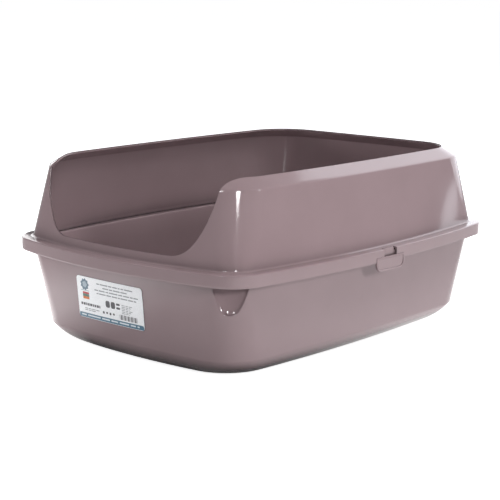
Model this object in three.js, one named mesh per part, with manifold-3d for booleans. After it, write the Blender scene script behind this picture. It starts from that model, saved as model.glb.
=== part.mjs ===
// Open litter tray with a raised click-on rim. Millimetres.
// X is the width, Y the length with the entrance towards -Y, Z is up.
// The origin is on the floor, under the middle of the tray.
import * as THREE from 'three';
import { mergeVertices } from 'three/addons/utils/BufferGeometryUtils.js';
import Module from 'manifold-3d';

// ---- driving dimensions ----------------------------------------------------
const WALL = 2.2; // thickness of every moulded wall
const GAP = 0.3; // clearance between neighbouring pieces

// Plan outlines: half width, half length, corner radius, and how far the
// front and the long sides bow outwards over their full length.
const FLANGE = plan(190, 250, 44.5, 31.8, 25.2); // outside of the rim's skirt
const CREASE = plan(160.8, 218.8, 55.5, 15, 7.2); // where the rim's wall turns inwards
const OPENING = plan(144.3, 204.8, 52.8, 2.3, 7.5); // inner edge of the rim's top
const TRAY_TOP = plan(164.6, 225.6, 27, 9.3, 8.3); // tray wall, level with the skirt's lower edge
const TRAY_BOTTOM = plan(156.3, 217.3, 50, 8, 5.6); // tray wall, where the bevel starts
const FOOT = plan(132.9, 194.8, 51.7, 12.4, 10.3); // edge of the flat that stands on the floor

const SKIRT_BOTTOM_Z = 104.8;
const SKIRT_TOP_Z = 118.6;
const SKIRT_EDGE = 0.7; // rounding of the skirt's upper edge
const WALL_BASE_Z = 119.1;
const WALL_BASE_INSET = 12.7; // width of the ledge between skirt and wall
const WALL_FOOT_Z = 115.5; // underside of the rim's wall, which rests on the tray
const CREASE_Z = 199.6;
const RIM_TOP_Z = 210;
const EDGE_DROP = 2.7; // height of the edge around the top opening
const CREASE_INNER = { inset: 2.05, drop: 1.4 }; // inner crease, WALL away from both outer faces

const BEVEL_TOP_Z = 21.2;
const BEVEL_FROM = THREE.MathUtils.degToRad(25); // the bevel's slope at the floor
const BEVEL_TO = THREE.MathUtils.degToRad(65); // and where it meets the wall
const LEDGE_TOP_Z = WALL_FOOT_Z - GAP; // the tray's ledge, which carries the rim
const LIP_BOTTOM_Z = 107.5; // lower edge of the tray's turned-down lip
const LIP_INSET = WALL + 0.6; // the lip stands clear of the skirt's inner face

// Entrance: a flat sill, a fillet, a wide arc that runs up to an upright side,
// and a flare that turns the side into the top's edge.
const SILL_Z = 129.8;
const SILL_HALF = 78.2;
const SILL_FILLET = 35;
const SIDE_ARC = 111.4;
const FILLET_END = THREE.MathUtils.degToRad(55);
const SIDE_END = THREE.MathUtils.degToRad(86);
const FLARE = { across: 9.6, bottom: RIM_TOP_Z - 7, top: RIM_TOP_Z + 0.3 };

// Clips in the middle of the long sides.
const CLIP_Y = 2;
const CLIP_HALF = 25;
const CLIP_TOP_Z = 110.6;
const CLIP_BOTTOM_Z = 94.6;
const CLIP_CORNER = 8.5;
const CLIP_FACE_X = 189.9;
const CLIP_PLAY = 0.4; // room above and beside the clip
const BEAD_WIDTH = 2.2;
const BEAD_HEIGHT = 0.9;
const WINDOW_HALF = 11.5;
const WINDOW_DEPTH = 5.4;
const LUG = { half: 10, inset: WALL + 0.7, thickness: 2, bottom: 112, top: 118.9, corner: 2.5 };

// Thumb recesses in two of the tray's corners, diagonally opposite.
const SCOOP_CORNERS = [[1, -1], [-1, 1]]; // signs of the corners' x and y
const SCOOP_BEARING = THREE.MathUtils.degToRad(51.5); // direction it faces, from the X axis
const SCOOP_OUT = new THREE.Vector2(Math.cos(SCOOP_BEARING), Math.sin(SCOOP_BEARING));
const SCOOP_BOTTOM_Z = 72.9;
const SCOOP_FULL_Z = 100; // it is at its full width from here up
const SCOOP_HALF = 17.5;
const SCOOP_POWER = 0.42; // how quickly it widens upwards
const SCOOP_HOLLOW = 0.12; // depth behind the chord across it, over half its width
const SCOOP_TIP = 0.5; // half width of its blunt lower tip
const SCOOP_CLEAR = 3; // how far the cut reaches in front of the wall
const SCOOP_STEPS = 20;
const SCOOP_LEVELS = [0, 0.03, 0.12, 0.3, 0.6, 1]; // shares of the way up to the full width

// Sticker on the tray's front.
const LABEL = { left: -69.5, right: 33.3, bottom: 39.6, top: 86.6, corner: 3.5, thickness: 0.3 };

// How finely the curves are cut into flats.
const SIDE_STEPS = 3;
const CORNER_STEPS = 7;
const FRONT_STEPS = 3;
const ARC_STEPS = 6;

const wasm = await Module();
wasm.setup();

// ---- outlines --------------------------------------------------------------
function plan(halfX, halfY, corner, bowFront, bowSide) {
  return {
    halfX,
    halfY,
    corner,
    frontRadius: (halfX ** 2 + bowFront ** 2) / (2 * bowFront),
    sideRadius: (halfY ** 2 + bowSide ** 2) / (2 * bowSide),
  };
}

// The same outline, a given distance further in all round.
function inset(outline, distance) {
  return {
    halfX: outline.halfX - distance,
    halfY: outline.halfY - distance,
    corner: outline.corner - distance,
    frontRadius: outline.frontRadius - distance,
    sideRadius: outline.sideRadius - distance,
  };
}

// Centre of the corner fillet in the +X +Y quadrant, tangent to both side arcs.
function cornerCentre({ halfX, halfY, corner, frontRadius, sideRadius }) {
  const side = new THREE.Vector2(halfX - sideRadius, 0);
  const front = new THREE.Vector2(0, halfY - frontRadius);
  const along = front.clone().sub(side);
  const span = along.length();
  along.divideScalar(span);
  const toSide = sideRadius - corner;
  const toFront = frontRadius - corner;
  const reach = (span ** 2 + toSide ** 2 - toFront ** 2) / (2 * span);
  const rise = Math.sqrt(toSide ** 2 - reach ** 2);
  const across = new THREE.Vector2(along.y, -along.x);
  const sign = across.x + across.y > 0 ? 1 : -1;
  return side.addScaledVector(along, reach).addScaledVector(across, sign * rise);
}

function arc(points, centreX, centreY, radius, from, to, steps) {
  for (let step = 0; step < steps; step += 1) {
    const angle = from + ((to - from) * step) / steps;
    points.push([centreX + radius * Math.cos(angle), centreY + radius * Math.sin(angle)]);
  }
}

// Points of an outline, anticlockwise from (halfX, 0).
function outlinePoints(outline) {
  const { halfX, halfY, corner, frontRadius, sideRadius } = outline;
  const centre = cornerCentre(outline);
  const sideEnd = Math.atan2(centre.y, centre.x - (halfX - sideRadius));
  const frontStart = Math.atan2(centre.y - (halfY - frontRadius), centre.x);
  const quarter = [];
  arc(quarter, halfX - sideRadius, 0, sideRadius, 0, sideEnd, SIDE_STEPS);
  arc(quarter, centre.x, centre.y, corner, sideEnd, frontStart, CORNER_STEPS);
  arc(quarter, 0, halfY - frontRadius, frontRadius, frontStart, Math.PI / 2, FRONT_STEPS);
  const half = [...quarter, [0, halfY]];
  for (let i = quarter.length - 1; i > 0; i -= 1) {
    half.push([-quarter[i][0], quarter[i][1]]);
  }
  return [...half, ...half.map(([x, y]) => [-x, -y])];
}

function ring(outline, z) {
  return outlinePoints(outline).map(([x, y]) => new THREE.Vector3(x, y, z));
}

// A ring between two others: separate shares of the way across and of the way up.
function ringBetween(low, high, across, up) {
  return low.map((point, i) => {
    const mixed = point.clone().lerp(high[i], across);
    mixed.z = THREE.MathUtils.lerp(point.z, high[i].z, up);
    return mixed;
  });
}

// ---- solids ----------------------------------------------------------------
// Skin over a stack of rings. With joined, the last ring meets the first and
// the solid is a closed frame; otherwise both ends are capped.
function loft(rings, joined = false) {
  const count = rings[0].length;
  const vertices = rings.flat();
  const index = [];
  const bands = joined ? rings.length : rings.length - 1;
  for (let band = 0; band < bands; band += 1) {
    const low = band * count;
    const high = ((band + 1) % rings.length) * count;
    for (let i = 0; i < count; i += 1) {
      const next = (i + 1) % count;
      index.push(low + i, low + next, high + next, low + i, high + next, high + i);
    }
  }
  if (!joined) {
    capEnd(vertices, index, rings[0], 0, false);
    capEnd(vertices, index, rings.at(-1), (rings.length - 1) * count, true);
  }
  const geometry = new THREE.BufferGeometry().setFromPoints(vertices);
  geometry.setIndex(index);
  return geometry;
}

function capEnd(vertices, index, points, start, faceUp) {
  const middle = new THREE.Vector3();
  points.forEach((point) => middle.addScaledVector(point, 1 / points.length));
  const hub = vertices.push(middle) - 1;
  for (let i = 0; i < points.length; i += 1) {
    const here = start + i;
    const next = start + ((i + 1) % points.length);
    index.push(hub, faceUp ? here : next, faceUp ? next : here);
  }
}

function toSolid(geometry) {
  const bare = geometry.clone();
  bare.deleteAttribute('normal');
  bare.deleteAttribute('uv');
  const merged = mergeVertices(bare, 1e-4);
  return new wasm.Manifold(new wasm.Mesh({
    numProp: 3,
    vertProperties: new Float32Array(merged.attributes.position.array),
    triVerts: new Uint32Array(merged.index.array),
  }));
}

function toGeometry(solid) {
  const { vertProperties, triVerts } = solid.getMesh();
  const geometry = new THREE.BufferGeometry();
  geometry.setAttribute('position', new THREE.BufferAttribute(vertProperties, 3));
  geometry.setIndex(new THREE.BufferAttribute(triVerts, 1));
  geometry.computeVertexNormals();
  return geometry;
}

// An axis-aligned block between two corners.
function block(low, high) {
  const geometry = new THREE.BoxGeometry(high[0] - low[0], high[1] - low[1], high[2] - low[2]);
  geometry.translate((low[0] + high[0]) / 2, (low[1] + high[1]) / 2, (low[2] + high[2]) / 2);
  return geometry;
}

// A shape drawn in (y, z), extruded along X from x by depth.
function extrudeAlongX(shape, x, depth) {
  const geometry = new THREE.ExtrudeGeometry(shape, {
    depth,
    bevelEnabled: false,
    curveSegments: ARC_STEPS,
  });
  geometry.applyMatrix4(new THREE.Matrix4().makeBasis(
    new THREE.Vector3(0, 1, 0),
    new THREE.Vector3(0, 0, 1),
    new THREE.Vector3(1, 0, 0),
  ));
  geometry.translate(x, 0, 0);
  return geometry;
}

// The same piece on the other long side.
function mirrorX(geometry) {
  const mirrored = geometry.clone();
  mirrored.applyMatrix4(new THREE.Matrix4().makeScale(-1, 1, 1));
  const order = mirrored.index.array;
  for (let i = 0; i < order.length; i += 3) {
    [order[i + 1], order[i + 2]] = [order[i + 2], order[i + 1]];
  }
  return mirrored;
}

// ---- tray ------------------------------------------------------------------
// Rings of the rounded bevel between the floor and the wall.
function bevelRings(low, high) {
  return [0, 0.5, 1].map((share) => {
    const slope = THREE.MathUtils.lerp(BEVEL_FROM, BEVEL_TO, share);
    const across = (Math.sin(slope) - Math.sin(BEVEL_FROM)) / (Math.sin(BEVEL_TO) - Math.sin(BEVEL_FROM));
    const up = (Math.cos(BEVEL_FROM) - Math.cos(slope)) / (Math.cos(BEVEL_FROM) - Math.cos(BEVEL_TO));
    return ringBetween(low, high, across, up);
  });
}

// The wall's ring at any height, on the straight line from its bottom to its top.
function wallRing(distance, z) {
  const share = (z - BEVEL_TOP_Z) / (SKIRT_BOTTOM_Z - BEVEL_TOP_Z);
  const low = ring(inset(TRAY_BOTTOM, distance), z);
  const high = ring(inset(TRAY_TOP, distance), z);
  return ringBetween(low, high, share, 0);
}

function trayOuter() {
  return loft([
    ...bevelRings(ring(FOOT, 0), ring(TRAY_BOTTOM, BEVEL_TOP_Z)),
    wallRing(0, LEDGE_TOP_Z - WALL),
    ring(inset(FLANGE, LIP_INSET + WALL), LEDGE_TOP_Z - WALL),
    ring(inset(FLANGE, LIP_INSET + WALL), LIP_BOTTOM_Z),
    ring(inset(FLANGE, LIP_INSET), LIP_BOTTOM_Z),
    ring(inset(FLANGE, LIP_INSET), LEDGE_TOP_Z),
  ]);
}

function trayCavity() {
  const floor = ring(inset(FOOT, WALL / 2), WALL);
  const bevelTop = ring(inset(TRAY_BOTTOM, WALL), BEVEL_TOP_Z + WALL / 2);
  return loft([
    ...bevelRings(floor, bevelTop),
    wallRing(WALL, LEDGE_TOP_Z - WALL),
    ring(inset(TRAY_TOP, WALL / 2), LEDGE_TOP_Z),
    ring(inset(TRAY_TOP, WALL / 2), LEDGE_TOP_Z + WALL),
  ]);
}

// Where the wall's corner faces the scoop's bearing, with the corner's radius there.
function cornerAt(z) {
  const share = (z - BEVEL_TOP_Z) / (SKIRT_BOTTOM_Z - BEVEL_TOP_Z);
  const [low, high] = [TRAY_BOTTOM, TRAY_TOP].map((outline) => (
    cornerCentre(outline).addScaledVector(SCOOP_OUT, outline.corner)
  ));
  return {
    point: low.lerp(high, share),
    radius: THREE.MathUtils.lerp(TRAY_BOTTOM.corner, TRAY_TOP.corner, share),
  };
}

// One level of a recess: a hollow behind its chord, and in front of the wall a
// strip that follows the corner, so that the cut stays clear of the lip.
function scoopRing(z, half, hollow, signX, signY) {
  const { point, radius } = cornerAt(z);
  const across = new THREE.Vector2(-SCOOP_OUT.y, SCOOP_OUT.x);
  const fallAway = (side) => radius - Math.sqrt(radius ** 2 - Math.min(Math.abs(side), 0.97 * radius) ** 2);
  const points = [];
  for (let step = 0; step < SCOOP_STEPS; step += 1) {
    const turn = (step / SCOOP_STEPS) * 2 * Math.PI;
    const side = half * Math.cos(turn);
    const reach = turn < Math.PI
      ? SCOOP_CLEAR - fallAway(side)
      : hollow * Math.sin(turn) - fallAway(half);
    const spot = point.clone().addScaledVector(SCOOP_OUT, reach).addScaledVector(across, -side);
    points.push(new THREE.Vector3(signX * spot.x, signY * spot.y, z));
  }
  return signX * signY > 0 ? points : points.reverse();
}

// The recess in the corner whose signs are given, swollen by extra on every
// side and running up to topZ.
function scoop(signX, signY, extra, topZ) {
  const bottom = SCOOP_BOTTOM_Z - extra;
  const rings = SCOOP_LEVELS.map((level) => {
    const widening = level ** SCOOP_POWER;
    const half = SCOOP_HALF * widening + extra + SCOOP_TIP;
    const hollow = SCOOP_HALF * widening * SCOOP_HOLLOW + extra;
    const z = THREE.MathUtils.lerp(bottom, SCOOP_FULL_Z, level);
    return scoopRing(z, half, hollow, signX, signY);
  });
  const full = SCOOP_HALF + extra + SCOOP_TIP;
  rings.push(scoopRing(topZ, full, SCOOP_HALF * SCOOP_HOLLOW + extra, signX, signY));
  return toSolid(loft(rings));
}

// The upright tongue on the ledge's edge that shows in a clip's window.
function lug(sign) {
  const { half, bottom, top, corner, thickness } = LUG;
  const shape = new THREE.Shape();
  shape.moveTo(CLIP_Y - half, bottom);
  shape.lineTo(CLIP_Y + half, bottom);
  shape.lineTo(CLIP_Y + half, top - corner);
  shape.absarc(CLIP_Y + half - corner, top - corner, corner, 0, Math.PI / 2);
  shape.absarc(CLIP_Y - half + corner, top - corner, corner, Math.PI / 2, Math.PI);
  const inner = FLANGE.halfX - LUG.inset - thickness;
  const geometry = extrudeAlongX(shape, sign > 0 ? inner : -inner - thickness, thickness);
  return toSolid(geometry);
}

function trayGeometry() {
  let cavity = toSolid(trayCavity());
  let body = toSolid(trayOuter());
  for (const [signX, signY] of SCOOP_CORNERS) {
    body = body.subtract(scoop(signX, signY, 0, LEDGE_TOP_Z - WALL));
    cavity = cavity.subtract(scoop(signX, signY, WALL, LEDGE_TOP_Z + 2 * WALL));
  }
  return toGeometry(body.subtract(cavity).add(lug(1)).add(lug(-1)));
}

// ---- rim -------------------------------------------------------------------
function rimBody() {
  const ledgeUnder = SKIRT_TOP_Z - WALL;
  return loft([
    ring(FLANGE, SKIRT_BOTTOM_Z),
    ring(FLANGE, SKIRT_TOP_Z - SKIRT_EDGE),
    ring(inset(FLANGE, SKIRT_EDGE), SKIRT_TOP_Z),
    ring(inset(FLANGE, WALL_BASE_INSET), WALL_BASE_Z),
    ring(CREASE, CREASE_Z),
    ring(OPENING, RIM_TOP_Z),
    ring(OPENING, RIM_TOP_Z - EDGE_DROP),
    ring(inset(CREASE, CREASE_INNER.inset), CREASE_Z - CREASE_INNER.drop),
    ring(inset(FLANGE, WALL_BASE_INSET + WALL), WALL_BASE_Z),
    ring(inset(FLANGE, WALL_BASE_INSET + WALL), WALL_FOOT_Z),
    ring(inset(FLANGE, WALL_BASE_INSET), WALL_FOOT_Z),
    ring(inset(FLANGE, WALL_BASE_INSET), ledgeUnder),
    ring(inset(FLANGE, WALL), ledgeUnder),
    ring(inset(FLANGE, WALL), SKIRT_BOTTOM_Z),
  ], true);
}

// The entrance's outline in (x, z), open above the rim's top.
function entranceShape() {
  const right = [];
  arc(right, SILL_HALF, SILL_Z + SILL_FILLET, SILL_FILLET, -Math.PI / 2, FILLET_END - Math.PI / 2, ARC_STEPS);
  const bendX = SILL_HALF + SILL_FILLET * Math.sin(FILLET_END);
  const bendZ = SILL_Z + SILL_FILLET * (1 - Math.cos(FILLET_END));
  const centreX = bendX - SIDE_ARC * Math.sin(FILLET_END);
  const centreZ = bendZ + SIDE_ARC * Math.cos(FILLET_END);
  arc(right, centreX, centreZ, SIDE_ARC, FILLET_END - Math.PI / 2, SIDE_END - Math.PI / 2, ARC_STEPS);
  const sideX = centreX + SIDE_ARC * Math.sin(SIDE_END);
  right.push([sideX, centreZ - SIDE_ARC * Math.cos(SIDE_END)]);
  for (let step = 0; step <= ARC_STEPS; step += 1) {
    const turn = (step / ARC_STEPS) * (Math.PI / 2);
    const across = FLARE.across * (1 - Math.cos(turn));
    right.push([sideX + across, THREE.MathUtils.lerp(FLARE.bottom, FLARE.top, Math.sin(turn))]);
  }
  right.push([sideX + FLARE.across, RIM_TOP_Z + 5]);
  const left = right.map(([x, z]) => [-x, z]).reverse();
  return new THREE.Shape([...right, ...left].map(([x, z]) => new THREE.Vector2(x, z)));
}

// The cutter for the entrance runs from outside the front to the middle.
function entranceCutter() {
  const geometry = new THREE.ExtrudeGeometry(entranceShape(), {
    depth: FLANGE.halfY,
    bevelEnabled: false,
  });
  geometry.rotateX(Math.PI / 2);
  return toSolid(geometry);
}

function rimGeometry() {
  let rim = toSolid(rimBody()).subtract(entranceCutter());
  for (const sign of [-1, 1]) {
    const faceX = sign * FLANGE.halfX;
    const xs = [faceX + sign, faceX - sign * WINDOW_DEPTH].sort((a, b) => a - b);
    const window = block(
      [xs[0], CLIP_Y - WINDOW_HALF, SKIRT_BOTTOM_Z - 1],
      [xs[1], CLIP_Y + WINDOW_HALF, WALL_BASE_Z + 1],
    );
    const notch = block(
      [xs[0], CLIP_Y - CLIP_HALF - CLIP_PLAY, SKIRT_BOTTOM_Z - 1],
      [xs[1], CLIP_Y + CLIP_HALF + CLIP_PLAY, CLIP_TOP_Z + CLIP_PLAY],
    );
    rim = rim.subtract(toSolid(window)).subtract(toSolid(notch));
  }
  return toGeometry(rim);
}

// ---- clips -----------------------------------------------------------------
// A clip's outline in (y, z), drawn in by margin at its sides and bottom.
function clipPoints(margin) {
  const half = CLIP_HALF - margin;
  const bottom = CLIP_BOTTOM_Z + margin;
  const corner = CLIP_CORNER - margin;
  const points = [[CLIP_Y - half, CLIP_TOP_Z]];
  arc(points, CLIP_Y - half + corner, bottom + corner, corner, Math.PI, 1.5 * Math.PI, ARC_STEPS);
  arc(points, CLIP_Y + half - corner, bottom + corner, corner, 1.5 * Math.PI, 2 * Math.PI, ARC_STEPS);
  points.push([CLIP_Y + half, bottom + corner], [CLIP_Y + half, CLIP_TOP_Z]);
  return points.map(([y, z]) => new THREE.Vector2(y, z));
}

// A flat tab with a raised bead along its sides and lower edge.
function clipGeometry() {
  const plate = extrudeAlongX(new THREE.Shape(clipPoints(0)), CLIP_FACE_X - WALL, WALL);
  const bead = new THREE.Shape([...clipPoints(0), ...clipPoints(BEAD_WIDTH).reverse()]);
  const raised = extrudeAlongX(bead, CLIP_FACE_X - WALL / 2, WALL / 2 + BEAD_HEIGHT);
  return toGeometry(toSolid(plate).add(toSolid(raised)));
}

// ---- label -----------------------------------------------------------------
// The front wall's y at a given x and z.
function frontY(x, z) {
  const [low, high] = [TRAY_BOTTOM, TRAY_TOP].map(({ halfY, frontRadius }) => (
    halfY - frontRadius + Math.sqrt(frontRadius ** 2 - x ** 2)
  ));
  return -THREE.MathUtils.mapLinear(z, BEVEL_TOP_Z, SKIRT_BOTTOM_Z, low, high);
}

// A thin sheet that follows the front wall, with rounded corners.
function labelGeometry() {
  const { left, right, bottom, top, corner, thickness } = LABEL;
  const columns = [];
  for (let step = 0; step <= 4; step += 1) {
    columns.push(left + corner * (1 - Math.cos((step / 4) * (Math.PI / 2))));
  }
  for (let step = 1; step < 10; step += 1) {
    columns.push(THREE.MathUtils.lerp(left + corner, right - corner, step / 10));
  }
  for (let step = 0; step <= 4; step += 1) {
    columns.push(right - corner + corner * Math.sin((step / 4) * (Math.PI / 2)));
  }
  // One ring per column: up the back of the sheet and down its face.
  const rings = columns.map((x) => {
    const intoCorner = Math.max(left + corner - x, x - right + corner, 0);
    const drop = corner - Math.sqrt(Math.max(corner ** 2 - intoCorner ** 2, 0.01));
    const heights = [0, 0.5, 1].map((share) => THREE.MathUtils.lerp(bottom + drop, top - drop, share));
    const back = heights.map((z) => new THREE.Vector3(x, frontY(x, z) - GAP, z));
    const face = heights.map((z) => new THREE.Vector3(x, frontY(x, z) - GAP - thickness, z)).reverse();
    return [...back, ...face];
  });
  return loft(rings);
}

// ---- assembly --------------------------------------------------------------
const MAUVE = { color: 0x8f7f82, roughness: 0.3, metalness: 0 };

function mesh(name, geometry, look) {
  const piece = new THREE.Mesh(geometry, new THREE.MeshStandardMaterial(look));
  piece.name = name;
  return piece;
}

const litterBox = new THREE.Group();
litterBox.add(mesh('tray', trayGeometry(), MAUVE));
litterBox.add(mesh('label', labelGeometry(), { color: 0xe4e6ea, roughness: 0.45, metalness: 0 }));
litterBox.add(mesh('rim', rimGeometry(), MAUVE));
litterBox.add(mesh('clip_right', clipGeometry(), MAUVE));
litterBox.add(mesh('clip_left', mirrorX(clipGeometry()), MAUVE));

export default litterBox;
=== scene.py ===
# Open litter tray with a raised click-on rim: its looks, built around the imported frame.
# Shapes are worked out in millimetres and turned into metres where a mesh is made.
import math

import bmesh
import bpy
import numpy as np
from mathutils import Matrix, Vector


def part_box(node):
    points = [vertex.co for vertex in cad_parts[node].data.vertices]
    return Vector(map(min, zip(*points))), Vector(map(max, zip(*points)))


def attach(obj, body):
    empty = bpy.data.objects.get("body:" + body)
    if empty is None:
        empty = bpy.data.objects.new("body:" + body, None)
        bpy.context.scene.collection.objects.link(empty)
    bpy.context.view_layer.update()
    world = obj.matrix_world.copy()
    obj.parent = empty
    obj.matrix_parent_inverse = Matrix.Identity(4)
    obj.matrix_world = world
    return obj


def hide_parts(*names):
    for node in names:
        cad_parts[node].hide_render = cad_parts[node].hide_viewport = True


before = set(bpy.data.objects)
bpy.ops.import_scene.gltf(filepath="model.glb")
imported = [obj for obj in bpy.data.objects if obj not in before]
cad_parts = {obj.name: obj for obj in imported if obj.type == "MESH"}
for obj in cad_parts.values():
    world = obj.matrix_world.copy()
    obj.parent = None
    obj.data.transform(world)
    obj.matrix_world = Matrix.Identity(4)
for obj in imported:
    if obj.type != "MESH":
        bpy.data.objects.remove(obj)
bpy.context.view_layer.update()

MM = 0.001


def box_mm(node):
    low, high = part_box(node)
    return np.array(low) / MM, np.array(high) / MM


RIM_LOW, RIM_HIGH = box_mm("rim")
CLIP_LOW, CLIP_HIGH = box_mm("clip_right")
LABEL_LOW, LABEL_HIGH = box_mm("label")

# ---- driving dimensions, in millimetres ------------------------------------
WALL = 2.2  # thickness of every moulded wall
HALF_X = RIM_HIGH[0]
HALF_Y = RIM_HIGH[1]
SKIRT_BOTTOM_Z = RIM_LOW[2]
RIM_TOP_Z = RIM_HIGH[2]


def plan(half_x, half_y, corner, bow_front, bow_side):
    """An outline: half width, half length, corner radius and the two arcs' radii."""
    front_radius = (half_x**2 + bow_front**2) / (2 * bow_front)
    side_radius = (half_y**2 + bow_side**2) / (2 * bow_side)
    return np.array([half_x, half_y, corner, front_radius, side_radius])


# Outlines are drawn in from the skirt's, whose size the frame gives.
FLANGE = plan(HALF_X, HALF_Y, 44.5, 31.8, 25.2)
CREASE = plan(HALF_X - 29.2, HALF_Y - 31.2, 55.5, 15, 7.2)
OPENING = plan(HALF_X - 45.7, HALF_Y - 45.2, 52.8, 2.3, 7.5)
TRAY_TOP = plan(HALF_X - 25.4, HALF_Y - 24.4, 27, 9.3, 8.3)
TRAY_BOTTOM = plan(HALF_X - 33.7, HALF_Y - 32.7, 50, 8, 5.6)
FOOT = plan(HALF_X - 57.1, HALF_Y - 55.2, 51.7, 12.4, 10.3)

SKIRT_TOP_Z = SKIRT_BOTTOM_Z + 13.8
WALL_BASE_Z = SKIRT_TOP_Z + 0.5
WALL_BASE_INSET = 12.7
WALL_FOOT_Z = WALL_BASE_Z - 3.6
CREASE_Z = RIM_TOP_Z - 10.4
CREASE_INNER_INSET = 2.05
CREASE_INNER_DROP = 1.4
EDGE_DROP = 2.7
LEDGE_UNDER_Z = SKIRT_TOP_Z - WALL

BEVEL_TOP_Z = 21.2
BEVEL_FROM = math.radians(25)
BEVEL_TO = math.radians(65)
LEDGE_TOP_Z = WALL_FOOT_Z - 0.3
LIP_BOTTOM_Z = SKIRT_BOTTOM_Z + 2.7
LIP_INSET = WALL + 0.6

SILL_Z = SKIRT_BOTTOM_Z + 25
SILL_HALF = 78.2
SILL_FILLET = 35
SIDE_ARC = 111.4
FILLET_END = math.radians(55)
SIDE_END = math.radians(86)
FLARE_ACROSS = 9.6  # where the entrance's side turns into the top's edge
FLARE_BOTTOM_Z = RIM_TOP_Z - 7

# Nominal lengths along the rim's profile, used as its parameter.
SKIRT_RUN = 13.8
LEDGE_RUN = 12.7
WALL_RUN = 83.0
TOP_RUN = 18.0
ROUND_SKIRT = 1.5  # how far each of its folds is rounded to either side
ROUND_BASE = 2.0
ROUND_CREASE = 1.6
ROUND_INNER = 0.8

SIDE_SHARE = 0.4  # share of a quadrant's parameter on the side arc
CORNER_SHARE = 0.7  # and where the corner's share ends


# ---- outlines --------------------------------------------------------------
def corner_centre(outline):
    """Centre of the corner fillet in the +X +Y quadrant, tangent to both arcs."""
    half_x, half_y, corner, front_radius, side_radius = outline
    side = np.array([half_x - side_radius, 0.0])
    front = np.array([0.0, half_y - front_radius])
    along = front - side
    span = np.linalg.norm(along)
    along = along / span
    to_side = side_radius - corner
    to_front = front_radius - corner
    reach = (span**2 + to_side**2 - to_front**2) / (2 * span)
    rise = math.sqrt(to_side**2 - reach**2)
    across = np.array([along[1], -along[0]])
    if across.sum() < 0:
        across = -across
    return side + along * reach + across * rise


def ring_xy(outline, s):
    """x and y at parameter s: 0 at +X, 1 at +Y, 2 at -X, 3 at -Y."""
    half_x, half_y, corner, front_radius, side_radius = outline
    centre = corner_centre(outline)
    side_end = math.atan2(centre[1], centre[0] - (half_x - side_radius))
    front_start = math.atan2(centre[1] - (half_y - front_radius), centre[0])
    s = np.asarray(s, float)
    quadrant = np.floor(s).astype(int) % 4
    t = s - np.floor(s)
    t = np.where(quadrant % 2 == 1, 1 - t, t)
    on_side = side_end * t / SIDE_SHARE
    turn = (t - SIDE_SHARE) / (CORNER_SHARE - SIDE_SHARE)
    on_corner = side_end + (front_start - side_end) * turn
    past_corner = (t - CORNER_SHARE) / (1 - CORNER_SHARE)
    on_front = front_start + (math.pi / 2 - front_start) * past_corner
    x = np.where(
        t < SIDE_SHARE,
        half_x - side_radius + side_radius * np.cos(on_side),
        np.where(
            t < CORNER_SHARE,
            centre[0] + corner * np.cos(on_corner),
            front_radius * np.cos(on_front),
        ),
    )
    y = np.where(
        t < SIDE_SHARE,
        side_radius * np.sin(on_side),
        np.where(
            t < CORNER_SHARE,
            centre[1] + corner * np.sin(on_corner),
            half_y - front_radius + front_radius * np.sin(on_front),
        ),
    )
    sign_x = np.where((quadrant == 1) | (quadrant == 2), -1.0, 1.0)
    sign_y = np.where(quadrant >= 2, -1.0, 1.0)
    return sign_x * x, sign_y * y


def ring(outline, s, z):
    """Points of an outline at parameters s and height z."""
    x, y = ring_xy(outline, s)
    return np.stack([x, y, np.broadcast_to(np.asarray(z, float), x.shape)], axis=-1)


def mix(low, high, share):
    return low + (high - low) * share


def ramp(x, soft):
    """max(x, 0) with its corner rounded over soft on either side."""
    return np.where(x < -soft, 0.0, np.where(x > soft, x, (x + soft) ** 2 / (4 * soft)))


def smallest(a, b, soft):
    """The smaller of a and b, blended where they come within soft of each other."""
    share = np.clip(0.5 + 0.5 * (b - a) / soft, 0, 1)
    return b + (a - b) * share - soft * share * (1 - share)


# ---- meshes ----------------------------------------------------------------
SHARP_ANGLE = 35


def new_object(name, vertices, faces, material):
    """A smooth-shaded mesh object from millimetres."""
    mesh = bpy.data.meshes.new(name)
    mesh.from_pydata((np.asarray(vertices) * MM).tolist(), [], faces)
    mesh.validate()
    tidy = bmesh.new()
    tidy.from_mesh(mesh)
    bmesh.ops.remove_doubles(tidy, verts=tidy.verts, dist=1e-7)
    bmesh.ops.recalc_face_normals(tidy, faces=tidy.faces)
    tidy.to_mesh(mesh)
    tidy.free()
    mesh.shade_smooth()
    mesh.set_sharp_from_angle(angle=math.radians(SHARP_ANGLE))
    mesh.materials.append(material)
    made = bpy.data.objects.new(name, mesh)
    bpy.context.scene.collection.objects.link(made)
    return made


def grid_faces(rows, columns, close_rows=False, close_columns=True, start=0):
    """Quads of a grid whose rows follow each other in the vertex list."""
    faces = []
    for row in range(rows if close_rows else rows - 1):
        low = start + row * columns
        high = start + ((row + 1) % rows) * columns
        for i in range(columns if close_columns else columns - 1):
            j = (i + 1) % columns
            faces.append((low + i, low + j, high + j, high + i))
    return faces


def fan(centre, ring_start, columns):
    """Triangles from the vertex centre to a ring of vertices."""
    return [(centre, ring_start + i, ring_start + (i + 1) % columns) for i in range(columns)]


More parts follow.
